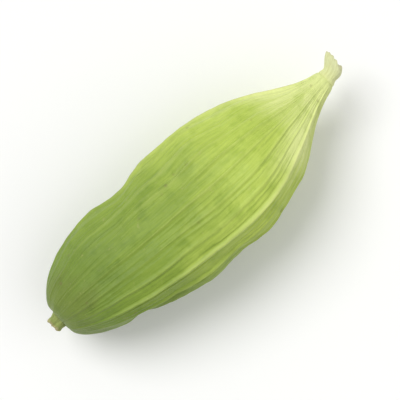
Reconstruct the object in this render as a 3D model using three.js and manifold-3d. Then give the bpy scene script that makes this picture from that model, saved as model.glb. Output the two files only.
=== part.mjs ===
// Green cardamom pod lying on its side, in millimetres.
// +X runs from the broken stalk to the dried flower tip, +Z is up, and z = 0 is the surface it lies on.
// The husk is a three-cornered capsule whose surface is one formula of the place along its axis and the
// angle round it.
import * as THREE from "three";
import { mergeVertices } from "three/addons/utils/BufferGeometryUtils.js";
import Module from "manifold-3d";

// Driving dimensions of the husk
const HUSK_LENGTH = 17.6; // from the blunt stalk end to the end of the beak
const BELLY_RADIUS = 3.2; // mean radius at the widest place
const BELLY_SHARE = 0.48; // the widest place, as a share of the length
const BEAK_RADIUS = 0.56; // at the end of the narrow beak
const AXIS_HEIGHT = 2.9; // of the stalk end above the surface, low enough to leave a small flat spot
const BLUNT_POWER = 2.2; // how squarely the stalk end is rounded
const BLUNT_ROOT = 2.3;
const TAPER_POWER = 1.7; // how late the belly narrows to the beak
const BOW = 0.72; // sideways bend of the middle, towards -Y
const BOW_POWER = 1.3; // how far past the middle the bend is deepest
const BEAK_SIDE = 0.45; // the beak's end to the side of the stalk end, towards -Y
const BEAK_LIFT = 0.3; // the beak's end above the stalk end

// Corners, ribs and the swellings of the husk
const ROLL = THREE.MathUtils.degToRad(38); // lean of the top corner from upright, towards -Y
const CORNERS = 3;
const CORNER_SHARE = 0.075; // how far the corners stand out, as a share of the radius
const RIBS = 24; // one of them runs along each corner
const RIB_HEIGHT = 0.09;
const SEAM_HEIGHT = 0.16; // what a corner's rib adds to the rest at the beak, fading out to the stalk
const SEED_SWELL = 0.09; // swellings over the two staggered rows of seeds in each corner
const SEEDS_IN_ROW = 5;
const SOCKET_DEPTH = 0.45; // hollow that the stalk stands in
const SOCKET_RADIUS = 0.6;
const DENTS = [
  { at: 6.5, angle: 10, depth: 0.4, long: 1.2, wide: 34 },
  { at: 5.1, angle: 95, depth: 0.14, long: 0.9, wide: 42 },
  { at: 3.5, angle: 186, depth: 0.95, long: 0.8, wide: 34 },
]; // shrunken places: mm along, degrees from +Y towards +Z

// Stalk and dried flower tip
const STALK_RADIUS = 0.42;
const STALK_REACH = 0.3; // what stands out past the husk's own length
const STALK_SUNK = 0.25; // what stands in the hollow
const STALK_PITH = 0.1; // depth of the dip in its broken end
const STALK_FLUTES = 6;
const FLUTE_SHARE = 0.08; // height of a flute, as a share of the radius
const TIP_GAP = 0.04; // between the beak's end and the tip
const TIP_LENGTH = 1.05;
const TIP_RIM_RADIUS = 0.57;
const TIP_WAIST_RADIUS = 0.4;
const TIP_CUP_DEPTH = 0.4;
const TIP_BEND = 0.42; // sideways lean of the rim
const TIP_LOBES = 3;
const LOBE_SHARE = 0.1; // how far the lobes stand out, as a share of the radius
const TIP_TEARS = 5;
const TEAR_SHARE = 0.07; // how far the tears reach in

// Facets
const HUSK_SIDES = 3 * RIBS;
const HUSK_STATIONS = 46;
const SMALL_SIDES = 24;

const wasm = await Module();
wasm.setup();

// A closed geometry as a solid, with its shared vertices merged.
function solidOf(geometry) {
  const bare = geometry.clone();
  bare.deleteAttribute("normal");
  bare.deleteAttribute("uv");
  const merged = mergeVertices(bare);
  return new wasm.Manifold(
    new wasm.Mesh({
      numProp: 3,
      vertProperties: merged.getAttribute("position").array,
      triVerts: new Uint32Array(merged.index.array),
    }),
  );
}

function geometryOf(solid) {
  const mesh = solid.getMesh();
  const geometry = new THREE.BufferGeometry();
  geometry.setAttribute("position", new THREE.BufferAttribute(mesh.vertProperties, 3));
  geometry.setIndex(new THREE.BufferAttribute(mesh.triVerts, 1));
  geometry.computeVertexNormals();
  return geometry;
}

// A lathe of an outline, with each vertex then moved to place(outline point, angle from +Y towards +Z).
function turned(outline, sides, place) {
  const geometry = new THREE.LatheGeometry(outline, sides);
  const position = geometry.getAttribute("position");
  for (let i = 0; i < position.count; i++) {
    const angle = (Math.floor(i / outline.length) / sides) * 2 * Math.PI;
    const spot = place(outline[i % outline.length], angle);
    position.setXYZ(i, spot.x, spot.y, spot.z);
  }
  geometry.computeVertexNormals();
  return geometry;
}

// Mean radius of the husk at a share of its length.
function huskRadius(share) {
  if (share < BELLY_SHARE) {
    const back = 1 - share / BELLY_SHARE;
    return BELLY_RADIUS * Math.pow(1 - Math.pow(back, BLUNT_POWER), 1 / BLUNT_ROOT);
  }
  const on = (share - BELLY_SHARE) / (1 - BELLY_SHARE);
  const fall = (1 + Math.cos(Math.PI * Math.pow(on, TAPER_POWER))) / 2;
  return BEAK_RADIUS + (BELLY_RADIUS - BEAK_RADIUS) * fall;
}

function dentDepth(x, angle) {
  let depth = 0;
  for (const dent of DENTS) {
    const turn = angle - THREE.MathUtils.degToRad(dent.angle);
    const off = Math.atan2(Math.sin(turn), Math.cos(turn)) / THREE.MathUtils.degToRad(dent.wide);
    const along = (x - dent.at) / dent.long;
    depth += dent.depth * Math.exp(-along * along - off * off);
  }
  return depth;
}

// Sideways place of the husk's axis.
function axisSide(share) {
  return -BOW * Math.sin(Math.PI * share ** BOW_POWER) - BEAK_SIDE * share ** 4;
}

// Height of the husk's axis above its stalk end.
function axisRise(share) {
  return BEAK_LIFT * share ** 3;
}

// Distance of the husk's surface from its axis. turn is the angle from the top corner.
function surfaceRadius(share, turn) {
  const mean = huskRadius(share);
  const full = 1 - Math.pow(Math.abs(2 * share - 1), 4); // relief dies out at both ends
  const corner = Math.cos(CORNERS * turn);
  const rib = Math.max(0, Math.cos(RIBS * turn)) ** 2;
  const seam = share * rib * Math.max(0, corner) ** 8;
  const swell = Math.sin(CORNERS * turn) * Math.cos(2 * Math.PI * SEEDS_IN_ROW * share);
  const relief = RIB_HEIGHT * rib + SEAM_HEIGHT * seam + SEED_SWELL * swell;
  const dent = dentDepth(share * HUSK_LENGTH, turn + Math.PI / 2 + ROLL);
  return mean * (1 + CORNER_SHARE * full * corner) + full * (relief - dent);
}

function makeHusk() {
  const outline = [];
  for (let i = 0; i <= HUSK_STATIONS; i++) {
    const share = (1 - Math.cos((Math.PI * i) / HUSK_STATIONS)) / 2;
    outline.push(new THREE.Vector2(huskRadius(share), share));
  }
  outline.push(new THREE.Vector2(0, 1));
  const skin = turned(outline, HUSK_SIDES, (point, turn) => {
    const share = point.y;
    const angle = turn + Math.PI / 2 + ROLL;
    const radius = point.x > 0 ? surfaceRadius(share, turn) : 0;
    const socket = SOCKET_DEPTH * Math.exp(-((radius / SOCKET_RADIUS) ** 2));
    return new THREE.Vector3(
      share * HUSK_LENGTH + (share < BELLY_SHARE ? socket : 0),
      radius * Math.cos(angle) + axisSide(share),
      radius * Math.sin(angle) + axisRise(share),
    );
  });
  const below = new THREE.BoxGeometry(2 * HUSK_LENGTH, 2 * HUSK_LENGTH, HUSK_LENGTH);
  below.translate(0, 0, -AXIS_HEIGHT - HUSK_LENGTH / 2);
  return geometryOf(solidOf(skin).subtract(solidOf(below)));
}

// Short broken stub, rough at its end, standing in the hollow of the husk's blunt end.
function makeStalk() {
  const outline = [
    new THREE.Vector2(0, STALK_PITH - STALK_REACH),
    new THREE.Vector2(0.7 * STALK_RADIUS, -STALK_REACH),
    new THREE.Vector2(0.92 * STALK_RADIUS, STALK_PITH - STALK_REACH),
    new THREE.Vector2(0.88 * STALK_RADIUS, 0),
    new THREE.Vector2(STALK_RADIUS, STALK_SUNK),
    new THREE.Vector2(0, STALK_SUNK),
  ];
  return turned(outline, SMALL_SIDES, (point, turn) => {
    const fluted = point.x * (1 + FLUTE_SHARE * Math.cos(STALK_FLUTES * turn));
    return new THREE.Vector3(point.y, fluted * Math.cos(turn), fluted * Math.sin(turn));
  });
}

// Dried foot of the flower: a waisted, flaring collar with a torn rim and a cupped end.
function makeTip() {
  const foot = HUSK_LENGTH + TIP_GAP;
  const outline = [
    new THREE.Vector2(0, 0),
    new THREE.Vector2(0.9 * BEAK_RADIUS, 0),
    new THREE.Vector2(TIP_WAIST_RADIUS, 0.25 * TIP_LENGTH),
    new THREE.Vector2(0.88 * TIP_RIM_RADIUS, 0.6 * TIP_LENGTH),
    new THREE.Vector2(TIP_RIM_RADIUS, 0.86 * TIP_LENGTH),
    new THREE.Vector2(0.84 * TIP_RIM_RADIUS, TIP_LENGTH),
    new THREE.Vector2(0.5 * TIP_RIM_RADIUS, TIP_LENGTH - 0.7 * TIP_CUP_DEPTH),
    new THREE.Vector2(0, TIP_LENGTH - TIP_CUP_DEPTH),
  ];
  return turned(outline, SMALL_SIDES, (point, turn) => {
    const out = point.y / TIP_LENGTH;
    const lobes = LOBE_SHARE * Math.cos(TIP_LOBES * turn);
    const tears = TEAR_SHARE * Math.cos(TIP_TEARS * turn + 1);
    const radius = point.x * (1 + out * (lobes + tears));
    return new THREE.Vector3(
      foot + point.y,
      radius * Math.cos(turn) + axisSide(1) + TIP_BEND * out * out,
      radius * Math.sin(turn) + axisRise(1),
    );
  });
}

function part(name, geometry, color, roughness) {
  const material = new THREE.MeshStandardMaterial({ color, roughness, metalness: 0 });
  const mesh = new THREE.Mesh(geometry, material);
  mesh.name = name;
  return mesh;
}

const pod = new THREE.Group();
pod.add(part("husk", makeHusk(), 0xa9be5c, 0.6));
pod.add(part("stalk_stub", makeStalk(), 0x9aa265, 0.85));
pod.add(part("flower_tip", makeTip(), 0xd9d9b4, 0.8));

// The origin is below the middle of the pod, on the surface.
const middle = new THREE.Box3().setFromObject(pod).getCenter(new THREE.Vector3());
pod.position.set(-middle.x, -middle.y, AXIS_HEIGHT);

export default pod;
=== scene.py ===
"""Green cardamom pod: the looks of the lying pod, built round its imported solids."""

import math
from collections import namedtuple

import bmesh
import bpy
from bpy.props import FloatProperty, FloatVectorProperty, IntProperty, PointerProperty
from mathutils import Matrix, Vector, noise


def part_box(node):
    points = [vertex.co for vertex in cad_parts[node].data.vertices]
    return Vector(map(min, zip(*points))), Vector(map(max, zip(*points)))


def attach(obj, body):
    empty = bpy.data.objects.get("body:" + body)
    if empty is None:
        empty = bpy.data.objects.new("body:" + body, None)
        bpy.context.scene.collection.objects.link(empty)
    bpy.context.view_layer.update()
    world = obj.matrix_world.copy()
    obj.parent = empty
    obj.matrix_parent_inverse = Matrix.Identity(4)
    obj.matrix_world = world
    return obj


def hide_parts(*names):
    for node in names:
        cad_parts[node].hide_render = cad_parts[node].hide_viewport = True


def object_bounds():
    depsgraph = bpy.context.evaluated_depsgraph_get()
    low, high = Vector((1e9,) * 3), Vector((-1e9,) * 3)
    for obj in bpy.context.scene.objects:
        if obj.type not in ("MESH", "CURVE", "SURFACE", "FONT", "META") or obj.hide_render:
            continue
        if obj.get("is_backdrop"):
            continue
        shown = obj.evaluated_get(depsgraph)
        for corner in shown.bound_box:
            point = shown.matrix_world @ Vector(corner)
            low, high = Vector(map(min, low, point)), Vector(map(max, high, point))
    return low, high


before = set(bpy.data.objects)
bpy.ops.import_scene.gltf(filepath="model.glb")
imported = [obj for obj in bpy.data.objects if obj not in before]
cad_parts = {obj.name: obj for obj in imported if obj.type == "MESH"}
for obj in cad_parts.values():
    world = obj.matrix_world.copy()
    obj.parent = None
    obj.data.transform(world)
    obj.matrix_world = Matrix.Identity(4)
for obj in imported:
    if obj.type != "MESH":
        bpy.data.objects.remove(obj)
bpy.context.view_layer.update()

bl_info = {
    "name": "Green Cardamom Pod",
    "version": (1, 0, 0),
    "blender": (4, 5, 0),
    "location": "View3D > Sidebar > Cardamom",
    "description": "Models a dried green cardamom pod with its broken stalk and dried flower tip",
    "category": "Add Mesh",
}

MM = 0.001
MERGE_DISTANCE = 0.0001 * MM

HUSK_LOW, HUSK_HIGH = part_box("husk")
STALK_LOW, STALK_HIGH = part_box("stalk_stub")
TIP_LOW, TIP_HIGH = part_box("flower_tip")
STALK_MIDDLE = (STALK_LOW + STALK_HIGH) / 2

CORNERS = 3
VEINS_TO_A_RIB = 3
BEAK_PLEATS = 9
STALK_PUCKERS = 11

# What fibres and clouds multiply a colour by
FIBRE_SHADE = (0.66, 0.74, 0.52)
CLOUD_SHADE = (0.72, 0.78, 0.56)
STALK_SHADE = (0.5, 0.46, 0.3)
PAPER_SHADE = (0.7, 0.66, 0.5)

# Where the two soft lights shine to, and how wide they look
KEY_AIM = (0.12, -0.62, -1.0)
KEY_SPREAD = math.radians(34)
FILL_AIM = (-0.5, 0.7, -1.0)
FILL_SPREAD = math.radians(60)

# A shrunken place of the husk: mm along, degrees from +Y towards +Z, and its depth, length and width.
Dent = namedtuple("Dent", "along angle depth length width")
DENTS = (
    Dent(along=6.5, angle=10, depth=0.4, length=1.2, width=34),
    Dent(along=5.1, angle=95, depth=0.14, length=0.9, width=42),
    Dent(along=3.5, angle=186, depth=0.95, length=0.8, width=34),
)


def size(name, description, millimetres):
    """A length that a user may change."""
    return FloatProperty(
        name=name, description=description, default=millimetres * MM, unit="LENGTH", precision=5
    )


def share(name, description, default):
    """A plain number that a user may change."""
    return FloatProperty(name=name, description=description, default=default, precision=3)


def angle(name, description, degrees):
    """An angle that a user may change."""
    return FloatProperty(
        name=name, description=description, default=math.radians(degrees), subtype="ANGLE"
    )


def count(name, description, default):
    """A number of like features."""
    return IntProperty(name=name, description=description, default=default, min=1)


def colour(name, description, default):
    """A colour that a user may change."""
    return FloatVectorProperty(
        name=name, description=description, default=default, subtype="COLOR", size=3, min=0, max=1
    )


class HuskSettings(bpy.types.PropertyGroup):
    """Sizes and colours of the ribbed husk"""

    length: size("Length", "From the blunt stalk end to the end of the beak", 17.6)
    belly_radius: size("Belly radius", "Mean radius at the widest place", 3.2)
    belly_share: share("Belly place", "Widest place as a share of the length", 0.48)
    beak_radius: size("Beak radius", "Radius at the end of the beak", 0.56)
    lip_share: share("Beak lip", "Rounded end of the beak, as a share of the length", 0.015)
    blunt_power: share("Blunt power", "How squarely the stalk end is rounded", 2.2)
    blunt_root: share("Blunt root", "How full the stalk end is", 2.3)
    taper_power: share("Taper power", "How late the belly narrows to the beak", 1.7)
    bow: size("Bow", "Sideways bend of the middle", 0.72)
    bow_power: share("Bow power", "How far past the middle the bend is deepest", 1.3)
    beak_side: size("Beak side", "Sideways place of the beak's end", 0.45)
    beak_lift: size("Beak lift", "Height of the beak's end above the stalk end", 0.3)
    roll: angle("Roll", "Lean of the top corner from upright", 38)
    corner_share: share("Corner", "How far the corners stand out, as a share of the radius", 0.075)
    ribs: count("Ribs", "Ribs round the husk", 24)
    rib_wander: share("Rib wander", "How far a rib strays to its sides, in radians", 0.05)
    rib_height: size("Rib height", "Height of a rib", 0.09)
    seam_height: size("Seam height", "What a corner's rib adds to the rest at the beak", 0.16)
    seed_swell: size("Seed swell", "Height of the swellings over the seeds", 0.09)
    seeds_in_row: count("Seeds in a row", "Swellings along each row", 5)
    socket_depth: size("Socket depth", "Depth of the hollow that the stalk stands in", 0.45)
    socket_radius: size("Socket radius", "Radius of that hollow", 0.6)
    vein_height: size("Vein height", "Height of the thin veins between the ribs", 0.055)
    strand_height: size("Strand height", "Height of the fine strands between the veins", 0.028)
    crinkle_height: size("Crinkle height", "Height of the short wrinkles across the husk", 0.03)
    lump_height: size("Lump height", "Height of the slow unevenness", 0.07)
    pleat_height: size("Pleat height", "Height of the pleats of the beak", 0.05)
    wrinkle_share: share("Wrinkles", "Height of the wrinkles in a shrunken place, by its depth", 0.1)
    stalk_end_colour: colour("Stalk end", "Colour by the stalk", (0.16, 0.225, 0.03))
    body_colour: colour("Body", "Colour of the stalk half", (0.17, 0.26, 0.028))
    belly_colour: colour("Belly", "Colour of the middle", (0.235, 0.34, 0.036))
    shoulder_colour: colour("Shoulder", "Colour where the belly narrows", (0.47, 0.59, 0.095))
    beak_colour: colour("Beak", "Colour of the beak", (0.76, 0.82, 0.33))
    # Ribs fade partly to a paler tone of their own and partly to a painted highlight
    rib_tone_and_highlight_colour: colour("Ribs", "Colour that the ribs fade to", (0.52, 0.6, 0.17))
    # Corner seams fade partly to a paler tone of their own and partly to a painted highlight
    seam_tone_and_highlight_colour: colour("Seams", "Colour that the corners fade to", (0.68, 0.71, 0.3))
    scuff_colour: colour("Scuffs", "Colour of the dry scuffs", (0.5, 0.47, 0.2))
    spot_colour: colour("Spots", "Colour of the small dark spots", (0.17, 0.14, 0.045))
    sheen_colour: colour("Sheen", "Colour of the skin's faint sheen", (0.85, 0.92, 0.7))


class StalkSettings(bpy.types.PropertyGroup):
    """Sizes and colours of the broken stalk"""

    radius: size("Radius", "Radius where it stands in the husk", 0.42)
    flutes: count("Flutes", "Flutes round the stalk", 6)
    flute_share: share("Flute height", "Height of a flute as a share of the radius", 0.08)
    strand_share: share("Strand height", "Height of its strands as a share of the radius", 0.16)
    lump_share: share("Lump height", "Height of its unevenness as a share of the radius", 0.22)
    chip_share: share("Chips", "Depth of its broken end's chips as a share of its length", 0.24)
    bark_colour: colour("Bark", "Colour of its side", (0.33, 0.4, 0.12))
    pith_colour: colour("Pith", "Colour of its broken end", (0.47, 0.44, 0.22))


class FlowerTipSettings(bpy.types.PropertyGroup):
    """Sizes and colours of the dried flower tip"""

    foot_radius: size("Foot radius", "Radius on the beak", 0.5)
    waist_radius: size("Waist radius", "Radius at the narrowest place", 0.4)
    rim_radius: size("Rim radius", "Radius of the flaring rim", 0.57)
    cup_depth: size("Cup depth", "Depth of the cupped end", 0.4)
    bend: size("Bend", "Sideways lean of the rim", 0.42)
    lobes: count("Lobes", "Lobes round the rim", 3)
    lobe_share: share("Lobe height", "Height of a lobe as a share of the radius", 0.1)
    tears: count("Tears", "Tears round the rim", 5)
    tear_share: share("Tear depth", "Depth of a tear as a share of the radius", 0.07)
    strand_share: share("Strand height", "Height of its strands as a share of the radius", 0.1)
    curl_share: share("Curl", "Unevenness of the rim as a share of the radius", 0.12)
    fray_share: share("Fray", "How far the rim is frayed back as a share of the length", 0.17)
    foot_colour: colour("Foot", "Colour on the beak", (0.76, 0.81, 0.36))
    paper_colour: colour("Paper", "Colour of the dried flower", (0.7, 0.73, 0.4))
    torn_colour: colour("Torn edge", "Colour of the torn rim", (0.6, 0.56, 0.3))


class StageSettings(bpy.types.PropertyGroup):
    """Floor, light and camera"""

    floor_width: FloatProperty(
        name="Floor", description="Width of the floor", default=4.0, unit="LENGTH"
    )
    floor_colour: colour("Floor colour", "Colour of the floor", (0.9, 0.9, 0.89))
    grain_colour: colour("Floor grain", "Colour of the floor's faint grain", (0.8, 0.8, 0.8))
    view_width: size("View width", "Width of what the camera sees", 19.5)
    view_turn: angle("View turn", "Angle of the pod's axis in the picture", 43.5)
    lens: FloatProperty(
        name="Lens", description="Focal length", default=180.0, unit="CAMERA"
    )
    key_strength: share("Key", "Strength of the main light", 1.9)
    fill_strength: share("Fill", "Strength of the light from the other side", 0.5)
    sky_strength: share("Sky", "Strength of the light from all round", 0.5)


class Value:
    """A socket's number that changes over a surface: arithmetic on it adds Math nodes."""

    def __init__(self, finish, socket):
        self.finish = finish
        self.socket = socket

    def math(self, operation, left, right):
        return self.finish.node("ShaderNodeMath", {"operation": operation}, {0: left, 1: right})

    def __add__(self, other):
        return self.math("ADD", self, other)

    def __radd__(self, other):
        return self.math("ADD", other, self)

    def __sub__(self, other):
        return self.math("SUBTRACT", self, other)

    def __rsub__(self, other):
        return self.math("SUBTRACT", other, self)

    def __mul__(self, other):
        return self.math("MULTIPLY", self, other)

    def __rmul__(self, other):
        return self.math("MULTIPLY", other, self)

    def held(self):
        """The number, held between 0 and 1."""
        return self.finish.node("ShaderNodeClamp", {}, {"Value": self})


class Finish:
    """The node material of one piece."""

    def __init__(self, name):
        self.material = bpy.data.materials.new(name)
        self.material.use_nodes = True
        self.tree = self.material.node_tree
        self.shader = self.tree.nodes["Principled BSDF"]

    def link(self, value, socket):
        """Sets a socket to a number or colour, or links another socket to it."""
        if isinstance(value, Value):
            self.tree.links.new(value.socket, socket)
        else:
            socket.default_value = value

    def node(self, kind, settings, inputs, output=0):
        """Adds a node with its settings, then its inputs, and gives one of its outputs."""
        made = self.tree.nodes.new(kind)
        for name, value in settings.items():
            if name == "stops":
                self.set_stops(made.color_ramp, value)
            else:
                setattr(made, name, value)
        for name, value in inputs.items():
            self.link(value, made.inputs[name])
        return Value(self, made.outputs[output])

    @staticmethod
    def set_stops(ramp, stops):
        """Sets a ramp's stops, each a place and a colour."""
        ramp.interpolation = "EASE"
        while len(ramp.elements) < len(stops):
            ramp.elements.new(1.0)
        for element, (place, tone) in zip(ramp.elements, stops):
            element.position = place
            element.color = (*tone, 1.0)

    def attribute(self, name, output="Fac"):
        """A mask or vector that the mesh carries."""
        return self.node("ShaderNodeAttribute", {"attribute_name": name}, {}, output)

    def spot(self):
        """The place on the piece, in metres."""
        return self.node("ShaderNodeTexCoord", {}, {}, "Object")

    def stretched(self, vector, scale):
        """A vector with each part multiplied."""
        return self.node(
            "ShaderNodeVectorMath", {"operation": "MULTIPLY"}, {0: vector, 1: scale}
        )

    def speckle(self, vector, scale, detail=3.0, roughness=0.55):
        """Smooth random numbers about 0.5."""
        inputs = {"Vector": vector, "Scale": scale, "Detail": detail, "Roughness": roughness}
        return self.node("ShaderNodeTexNoise", {}, inputs)

    def cells(self, vector, scale):
        """Distance from the nearest of scattered points."""
        return self.node("ShaderNodeTexVoronoi", {}, {"Vector": vector, "Scale": scale})

    def ramp(self, factor, stops):
        """A colour that changes with a number."""
        return self.node("ShaderNodeValToRGB", {"stops": stops}, {"Fac": factor})

    def mix(self, factor, first, second, blend="MIX"):
        """Two colours mixed by a number."""
        settings = {"data_type": "RGBA", "blend_type": blend}
        return self.node("ShaderNodeMix", settings, {0: factor, 6: first, 7: second}, 2)

    def bump(self, height, depth):
        """A normal tilted by a height, whose 1 stands for a depth in metres."""
        return self.node("ShaderNodeBump", {}, {"Height": height, "Distance": depth}, "Normal")

    def paint(self, **inputs):
        """Sets the shader's own sockets, named with underscores for spaces."""
        for name, value in inputs.items():
            self.link(value, self.shader.inputs[name.replace("_", " ")])
        return self.material


def solid(tone):
    """A colour with full alpha, for a node's socket."""
    return (*tone, 1.0)


def husk_finish(look):
    """Green, streaked and finely fibrous skin, paler towards the beak, with a paler tone and a painted
    highlight on the ribs and corner seams.
    """
    finish = Finish("Husk")
    along = finish.attribute("along")
    rib = finish.attribute("rib")
    seam = finish.attribute("seam")
    corner = finish.attribute("corner")
    grain = finish.attribute("grain", "Vector")
    spot = finish.spot()
    patch = finish.speckle(spot, 330.0, 2.0)
    blotch = finish.speckle(spot, 900.0)
    mottle = finish.speckle(spot, 1900.0, 3.0)
    streak = finish.speckle(finish.stretched(grain, (5.0, 11.0, 11.0)), 1.0)
    fibre = finish.speckle(finish.stretched(grain, (16.0, 46.0, 46.0)), 1.0, 4.0, 0.6)
    crinkle = finish.speckle(finish.stretched(grain, (85.0, 13.0, 13.0)), 1.0, 2.0)
    pore = finish.speckle(spot, 6500.0, 2.0)

    ripe = along + corner * 0.1 + (patch - 0.5) * 0.3 + (streak - 0.5) * 0.2 - 0.03
    tone = finish.ramp(
        ripe,
        (
            (0.02, look.stalk_end_colour),
            (0.14, look.body_colour),
            (0.36, look.belly_colour),
            (0.68, look.shoulder_colour),
            (0.93, look.beak_colour),
        ),
    )
    shade = finish.mix(((0.58 - fibre) * 2.0).held(), tone, solid(FIBRE_SHADE), "MULTIPLY")
    cloud = ((mottle - 0.5) * 2.2 + (blotch - 0.5) * 2.0).held()
    mottled = finish.mix(cloud, shade, solid(CLOUD_SHADE), "MULTIPLY")
    # Painted highlight on the rib crests, on top of their paler tone
    lit = rib * (streak * 0.7 - 0.12) * (along * 0.8 + 0.35)
    crest = finish.mix(lit.held(), mottled, solid(look.rib_tone_and_highlight_colour))
    # Painted highlight along the corner seams, growing towards the beak, on top of their paler tone
    seam_highlight = seam * along * (blotch + 0.3)
    ridge = finish.mix(seam_highlight.held(), crest, solid(look.seam_tone_and_highlight_colour))
    scuff = ((finish.speckle(spot, 2100.0, 4.0, 0.65) - 0.63) * 7.0).held()
    worn = finish.mix(scuff * 0.35, ridge, solid(look.scuff_colour))
    dots = ((0.2 - finish.cells(spot, 1500.0)) * 9.0).held() * ((blotch - 0.55) * 9.0).held()
    spotted = finish.mix(dots * 0.5, worn, solid(look.spot_colour))

    height = fibre * 0.5 + pore * 0.2 + streak * 0.25 + crinkle * 0.35
    return finish.paint(
        Base_Color=spotted,
        Roughness=0.5 + (fibre - 0.5) * 0.25 + scuff * 0.12,
        Normal=finish.bump(height, 0.05 * MM),
        Specular_IOR_Level=0.36,
        Sheen_Weight=0.16,
        Sheen_Roughness=0.45,
        Sheen_Tint=solid(look.sheen_colour),
    )


def stalk_finish(look):
    """Dull fibrous stalk, paler on its broken end."""
    finish = Finish("Stalk")
    along = finish.attribute("along")
    grain = finish.attribute("grain", "Vector")
    fibre = finish.speckle(finish.stretched(grain, (2.0, 9.0, 9.0)), 1.0, 4.0, 0.6)
    grit = finish.speckle(finish.spot(), 5200.0, 3.0)
    side = finish.mix(((along - 0.72) * 6.0).held(), solid(look.bark_colour), solid(look.pith_colour))
    tone = finish.mix(((0.62 - fibre) * 2.4).held(), side, solid(STALK_SHADE), "MULTIPLY")
    return finish.paint(
        Base_Color=tone,
        Roughness=0.78 + (grit - 0.5) * 0.2,
        Normal=finish.bump(fibre * 0.7 + grit * 0.3, 0.06 * MM),
        Specular_IOR_Level=0.3,
    )


def tip_finish(look):
    """Dry papery flower foot, browner at its torn rim."""
    finish = Finish("Flower tip")
    along = finish.attribute("along")
    grain = finish.attribute("grain", "Vector")
    fibre = finish.speckle(finish.stretched(grain, (2.0, 10.0, 10.0)), 1.0, 4.0, 0.6)
    blotch = finish.speckle(finish.spot(), 2600.0)
    foot = finish.mix((along * 1.6).held(), solid(look.foot_colour), solid(look.paper_colour))
    torn = ((along + (blotch - 0.5) * 0.9 - 0.78) * 4.0).held()
    rim = finish.mix(torn * 0.8, foot, solid(look.torn_colour))
    tone = finish.mix(((0.58 - fibre) * 2.0).held(), rim, solid(PAPER_SHADE), "MULTIPLY")
    return finish.paint(
        Base_Color=tone,
        Roughness=0.72 + (fibre - 0.5) * 0.2,
        Normal=finish.bump(fibre, 0.05 * MM),
        Specular_IOR_Level=0.3,
        Sheen_Weight=0.15,
        Sheen_Roughness=0.5,
    )


def floor_finish(look):
    """Matt pale paper."""
    finish = Finish("Floor")
    grain = finish.speckle(finish.spot(), 900.0)
    fleck = (grain - 0.4) * 0.05
    tone = finish.mix(fleck, solid(look.floor_colour), solid(look.grain_colour))
    return finish.paint(Base_Color=tone, Roughness=0.9, Specular_IOR_Level=0.1)


FLOAT_MASKS = ("along", "rib", "seam", "corner")
VECTOR_MASK = "grain"


def turned(profile, steps, place):
    """Spins a profile of along and radius points about X, then moves each vertex.

    place takes a vertex's along, radius and angle from +Y towards +Z, and gives its spot and its masks.
    """
    bm = bmesh.new()
    layers = {name: bm.verts.layers.float.new(name) for name in FLOAT_MASKS}
    layers[VECTOR_MASK] = bm.verts.layers.float_vector.new(VECTOR_MASK)
    line = [bm.verts.new((along, 0, radius)) for along, radius in profile]
    edges = [bm.edges.new(pair) for pair in zip(line, line[1:])]
    bmesh.ops.spin(
        bm,
        geom=line + edges,
        cent=(0, 0, 0),
        axis=(1, 0, 0),
        angle=2 * math.pi,
        steps=steps,
        use_merge=True,
    )
    bmesh.ops.remove_doubles(bm, verts=bm.verts, dist=MERGE_DISTANCE)
    for vert in bm.verts:
        along, y, z = vert.co
        vert.co, masks = place(along, math.hypot(y, z), math.atan2(z, y))
        for name, value in masks.items():
            vert[layers[name]] = value
    bmesh.ops.recalc_face_normals(bm, faces=bm.faces)
    return bm


def add_piece(name, bm, material, node):
    """Makes a mesh the piece that stands for a node."""
    for face in bm.faces:
        face.smooth = True
    mesh = bpy.data.meshes.new(name)
    bm.to_mesh(mesh)
    bm.free()
    mesh.materials.append(material)
    piece = bpy.data.objects.new(name, mesh)
    bpy.context.scene.collection.objects.link(piece)
    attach(piece, "root")
    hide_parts(node)
    return piece


def smoothed(piece):
    """Rounds a piece by one subdivision."""
    rounding = piece.modifiers.new("Rounding", "SUBSURF")
    rounding.levels = 1
    rounding.render_levels = 1


def near(value, middle, width):
    """A smooth hump of height 1 at middle."""
    off = (value - middle) / width
    return math.exp(-off * off)


def uneven(place, turn, along, around, shift=(0, 0, 0)):
    """A smooth random number about 0 on a round piece: along and around say how close its humps lie."""
    return noise.noise((
        place * along + shift[0],
        math.cos(turn) * around + shift[1],
        math.sin(turn) * around + shift[2],
    ))


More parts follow.
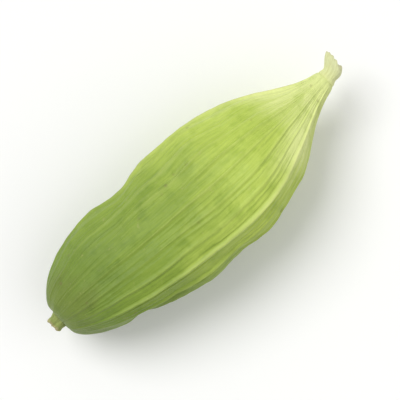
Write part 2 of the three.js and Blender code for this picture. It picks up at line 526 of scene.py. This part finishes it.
class HuskShape:
    """The husk's surface, as a formula of the share along the axis and the turn from the top corner."""

    def __init__(self, settings):
        for name in HuskSettings.__annotations__:
            setattr(self, name, getattr(settings, name))
        self.start = Vector((HUSK_HIGH.x - self.length, STALK_MIDDLE.y, STALK_MIDDLE.z))
        self.top = math.pi / 2 + self.roll

    def mean_radius(self, share):
        """Mean radius at a share of the length."""
        if share < self.belly_share:
            back = 1 - share / self.belly_share
            return self.belly_radius * (1 - back**self.blunt_power) ** (1 / self.blunt_root)
        on = (share - self.belly_share) / (1 - self.belly_share)
        fall = (1 + math.cos(math.pi * on**self.taper_power)) / 2
        lip = max(0.0, 1 - (1 - share) / self.lip_share)
        return self.beak_radius * (1 - 0.1 * lip**2) + (self.belly_radius - self.beak_radius) * fall

    def axis(self, share):
        """Middle of the husk at a share of the length."""
        side = self.bow * math.sin(math.pi * share**self.bow_power) + self.beak_side * share**4
        return self.start + Vector((share * self.length, -side, self.beak_lift * share**3))

    def dent(self, share, turn):
        """Depth of the shrunken places at a place."""
        depth = 0.0
        for dent in DENTS:
            off = turn + self.top - math.radians(dent.angle)
            off = math.atan2(math.sin(off), math.cos(off))
            along = near(share * self.length, dent.along * MM, dent.length * MM)
            depth += dent.depth * MM * along * near(off, 0, math.radians(dent.width))
        return depth

    def lines(self, share, turn):
        """Strength of the rib, the vein and the corner's seam at a place."""
        phase = self.ribs * (turn + self.rib_wander * uneven(share, turn, 4, 2.3))
        crest = max(0.0, math.cos(phase))
        vigour = max(0.15, 0.75 + 0.75 * uneven(share, turn, 3, 5, (9, 0, 0)))
        vein_phase = VEINS_TO_A_RIB * phase + 2 * uneven(share, turn, 6, 7, (0, 0, 3))
        vein_vigour = 0.5 + uneven(share, turn, 5, 9, (0, 5, 0))
        vein = max(0.0, math.cos(vein_phase)) ** 2 * vein_vigour
        seam = share * crest**2 * max(0.0, math.cos(CORNERS * turn)) ** 8
        return crest**3 * vigour, vein, seam

    def swelling(self, share, turn, lump):
        """Height of the seeds, strands, wrinkles and lumps at a place, less its dents."""
        seeds = math.sin(CORNERS * turn) * math.cos(2 * math.pi * self.seeds_in_row * share)
        strand = 0.15 - abs(uneven(share, turn, 3, 17))
        crinkle = uneven(share, turn, 38, 5)
        wrinkle = self.wrinkle_share * uneven(share, turn, 24, 8)
        return (
            self.seed_swell * seeds
            + self.strand_height * strand
            + self.crinkle_height * crinkle
            + self.lump_height * lump
            - self.dent(share, turn) * (1 + wrinkle)
        )

    def pleats(self, share, turn, lump):
        """Height of the beak's pleats and of the puckers by the stalk."""
        pleat = math.cos(BEAK_PLEATS * turn + 2 * lump) * near(share, 0.88, 0.08)
        pucker = math.cos(STALK_PUCKERS * turn + 3 * lump) * near(share, 0.025, 0.03)
        return self.pleat_height * (pleat + 0.7 * pucker)

    def place(self, along, radius, angle):
        """Spot and masks of a vertex of the plain turned husk."""
        share = max(0.0, min(1.0, along / self.length))
        turn = angle - self.top
        mean = self.mean_radius(share)
        fullness = radius / mean if mean > 0 else 0.0
        level = 1 - abs(2 * share - 1) ** 4
        corner = math.cos(CORNERS * turn)
        rib, vein, seam = self.lines(share, turn)
        lump = uneven(share, turn, 6, 1.7, (0, 0, 4))
        relief = (
            self.rib_height * rib
            + self.seam_height * seam
            + self.vein_height * (vein - 0.2)
            + self.swelling(share, turn, lump)
        )
        skin = mean * (1 + self.corner_share * level * corner) + level * relief
        reach = (skin + self.pleats(share, turn, lump)) * fullness

        spot = self.axis(share)
        if share < self.belly_share:
            spot.x += self.socket_depth * math.exp(-((reach / self.socket_radius) ** 2))
        spot.y += reach * math.cos(angle)
        spot.z = max(0.0, spot.z + reach * math.sin(angle))
        masks = {
            "along": share,
            "rib": (rib + 0.4 * vein) * level,
            "seam": seam * level,
            "corner": max(0.0, corner) * level,
            "grain": Vector((share, math.cos(turn), math.sin(turn))),
        }
        return spot, masks


class CARDAMOM_OT_husk(bpy.types.Operator):
    """Model the ribbed three-cornered husk"""

    bl_idname = "cardamom.husk"
    bl_label = "Husk"

    rows = 222
    steps = 432

    def execute(self, context):
        settings = context.scene.cardamom_husk
        shape = HuskShape(settings)
        profile = []
        for row in range(self.rows + 1):
            share = (1 - math.cos(math.pi * row / self.rows)) / 2
            profile.append((share * shape.length, shape.mean_radius(share)))
        profile.append((shape.length, 0.85 * shape.beak_radius))
        profile.append((shape.length, 0.0))
        bm = turned(profile, self.steps, shape.place)
        add_piece("cardamom_husk", bm, husk_finish(settings), "husk")
        return {"FINISHED"}


class CARDAMOM_OT_stalk(bpy.types.Operator):
    """Model the broken stalk in the husk's blunt end"""

    bl_idname = "cardamom.stalk"
    bl_label = "Stalk"

    steps = 96

    def execute(self, context):
        settings = context.scene.cardamom_stalk
        length = STALK_HIGH.x - STALK_LOW.x
        radius = settings.radius
        profile = [
            (0.0, 0.0),
            (0.0, 0.6 * radius),
            (0.0, radius),
            (0.2 * length, 0.95 * radius),
            (0.45 * length, 0.88 * radius),
            (0.62 * length, 0.88 * radius),
            (0.76 * length, 0.94 * radius),
            (0.9 * length, 0.92 * radius),
            (0.97 * length, 0.82 * radius),
            (length, 0.66 * radius),
            (0.96 * length, 0.5 * radius),
            (0.9 * length, 0.34 * radius),
            (0.86 * length, 0.16 * radius),
            (0.84 * length, 0.0),
        ]

        def place(along, out, angle):
            free = along / length
            flute = settings.flute_share * math.cos(settings.flutes * angle)
            strand = settings.strand_share * (0.4 - abs(uneven(free, angle, 1, 5)))
            lump = settings.lump_share * uneven(free, angle, 1, 1.4, (0, 0, 2))
            chip = settings.chip_share * uneven(out / radius, angle, 2, 3, (0, 0, 5))
            reach = out * (1 + flute + strand + lump)
            c, s = math.cos(angle), math.sin(angle)
            spot = Vector((
                STALK_HIGH.x - along + chip * length * free**3,
                STALK_MIDDLE.y + reach * c,
                STALK_MIDDLE.z + reach * s,
            ))
            return spot, {"along": free, "grain": Vector((free, c, s))}

        bm = turned(profile, self.steps, place)
        piece = add_piece("broken_stalk", bm, stalk_finish(settings), "stalk_stub")
        smoothed(piece)
        return {"FINISHED"}


class CARDAMOM_OT_flower_tip(bpy.types.Operator):
    """Model the dried flower tip on the beak"""

    bl_idname = "cardamom.flower_tip"
    bl_label = "Flower tip"

    steps = 120

    def execute(self, context):
        settings = context.scene.cardamom_flower_tip
        husk = context.scene.cardamom_husk
        length = TIP_HIGH.x - TIP_LOW.x
        foot, waist, rim = settings.foot_radius, settings.waist_radius, settings.rim_radius
        cup = length - settings.cup_depth
        profile = [
            (-0.1 * length, 0.0),
            (-0.1 * length, 0.9 * foot),
            (0.02 * length, foot),
            (0.12 * length, 0.93 * foot),
            (0.25 * length, waist),
            (0.38 * length, 1.12 * waist),
            (0.5 * length, 0.88 * rim),
            (0.64 * length, rim),
            (0.8 * length, 1.02 * rim),
            (0.93 * length, 0.94 * rim),
            (length, 0.82 * rim),
            (0.94 * length, 0.72 * rim),
            (0.8 * length, 0.6 * rim),
            (cup + 0.04 * length, 0.42 * rim),
            (cup, 0.2 * rim),
            (cup, 0.0),
        ]
        root = HuskShape(husk).axis(1.0)

        def place(along, reach, angle):
            out = max(0.0, along / length)
            lobe = settings.lobe_share * math.cos(settings.lobes * angle)
            tear = settings.tear_share * math.cos(settings.tears * angle + 1)
            strand = settings.strand_share * (0.35 - abs(uneven(out, angle, 1, 5)))
            curl = settings.curl_share * uneven(out, angle, 2, 2, (0, 6, 0)) * out
            fray = settings.fray_share * max(0.0, uneven(0.5, angle, 1, 3.1) + 0.06) * out**3
            wide = reach * (1 + out * (lobe + tear + curl) + strand * (0.4 + out))
            c, s = math.cos(angle), math.sin(angle)
            spot = Vector((
                TIP_LOW.x + along - fray * length,
                root.y + wide * c + settings.bend * out * out,
                root.z + wide * s,
            ))
            return spot, {"along": out, "grain": Vector((out, c, s))}

        bm = turned(profile, self.steps, place)
        piece = add_piece("dried_flower_tip", bm, tip_finish(settings), "flower_tip")
        smoothed(piece)
        return {"FINISHED"}


def add_sun(name, strength, spread, aim):
    """A soft light from far off, shining along aim."""
    light = bpy.data.lights.new(name, "SUN")
    light.energy = strength
    light.angle = spread
    lamp = bpy.data.objects.new(name, light)
    lamp.rotation_euler = Vector(aim).to_track_quat("-Z", "Y").to_euler()
    bpy.context.scene.collection.objects.link(lamp)


class CARDAMOM_OT_stage(bpy.types.Operator):
    """Set the floor, the light and the camera"""

    bl_idname = "cardamom.stage"
    bl_label = "Stage"

    def execute(self, context):
        settings = context.scene.cardamom_stage
        self.add_floor(settings)
        self.add_light(context.scene, settings)
        self.add_camera(context.scene, settings)
        return {"FINISHED"}

    def add_floor(self, settings):
        bm = bmesh.new()
        bmesh.ops.create_grid(bm, x_segments=1, y_segments=1, size=settings.floor_width / 2)
        mesh = bpy.data.meshes.new("floor")
        bm.to_mesh(mesh)
        bm.free()
        mesh.materials.append(floor_finish(settings))
        floor = bpy.data.objects.new("floor", mesh)
        bpy.context.scene.collection.objects.link(floor)
        floor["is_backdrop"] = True

    def add_light(self, scene, settings):
        add_sun("key", settings.key_strength, KEY_SPREAD, KEY_AIM)
        add_sun("fill", settings.fill_strength, FILL_SPREAD, FILL_AIM)
        world = bpy.data.worlds.new("sky")
        world.use_nodes = True
        sky = world.node_tree.nodes["Background"]
        sky.inputs["Color"].default_value = (1.0, 1.0, 1.0, 1.0)
        sky.inputs["Strength"].default_value = settings.sky_strength
        scene.world = world
        scene.view_settings.view_transform = "Standard"

    def add_camera(self, scene, settings):
        lens = bpy.data.cameras.new("camera")
        lens.lens = settings.lens
        lens.clip_start = 0.01
        low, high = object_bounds()
        middle = (low + high) / 2
        distance = settings.view_width * lens.lens / lens.sensor_width
        camera = bpy.data.objects.new("camera", lens)
        camera.location = middle + Vector((0, 0, distance))
        camera.rotation_euler = (0, 0, -settings.view_turn)
        scene.collection.objects.link(camera)
        scene.camera = camera


class CARDAMOM_PT_pod(bpy.types.Panel):
    """Lists the pod's pieces and the stage"""

    bl_label = "Green Cardamom Pod"
    bl_space_type = "VIEW_3D"
    bl_region_type = "UI"
    bl_category = "Cardamom"

    def draw(self, context):
        for name, group, operator in PARTS:
            box = self.layout.box()
            box.operator(operator.bl_idname)
            settings = getattr(context.scene, name)
            for value in group.__annotations__:
                box.prop(settings, value)


# The name of each group of settings, the group, and the operator that uses it.
PARTS = (
    ("cardamom_husk", HuskSettings, CARDAMOM_OT_husk),
    ("cardamom_stalk", StalkSettings, CARDAMOM_OT_stalk),
    ("cardamom_flower_tip", FlowerTipSettings, CARDAMOM_OT_flower_tip),
    ("cardamom_stage", StageSettings, CARDAMOM_OT_stage),
)


def register():
    for name, group, operator in PARTS:
        bpy.utils.register_class(group)
        bpy.utils.register_class(operator)
        setattr(bpy.types.Scene, name, PointerProperty(type=group))
    bpy.utils.register_class(CARDAMOM_PT_pod)


def unregister():
    bpy.utils.unregister_class(CARDAMOM_PT_pod)
    for name, group, operator in reversed(PARTS):
        delattr(bpy.types.Scene, name)
        bpy.utils.unregister_class(operator)
        bpy.utils.unregister_class(group)


def main():
    register()
    bpy.ops.cardamom.husk()
    bpy.ops.cardamom.stalk()
    bpy.ops.cardamom.flower_tip()
    bpy.ops.cardamom.stage()


if __name__ == "__main__":
    main()
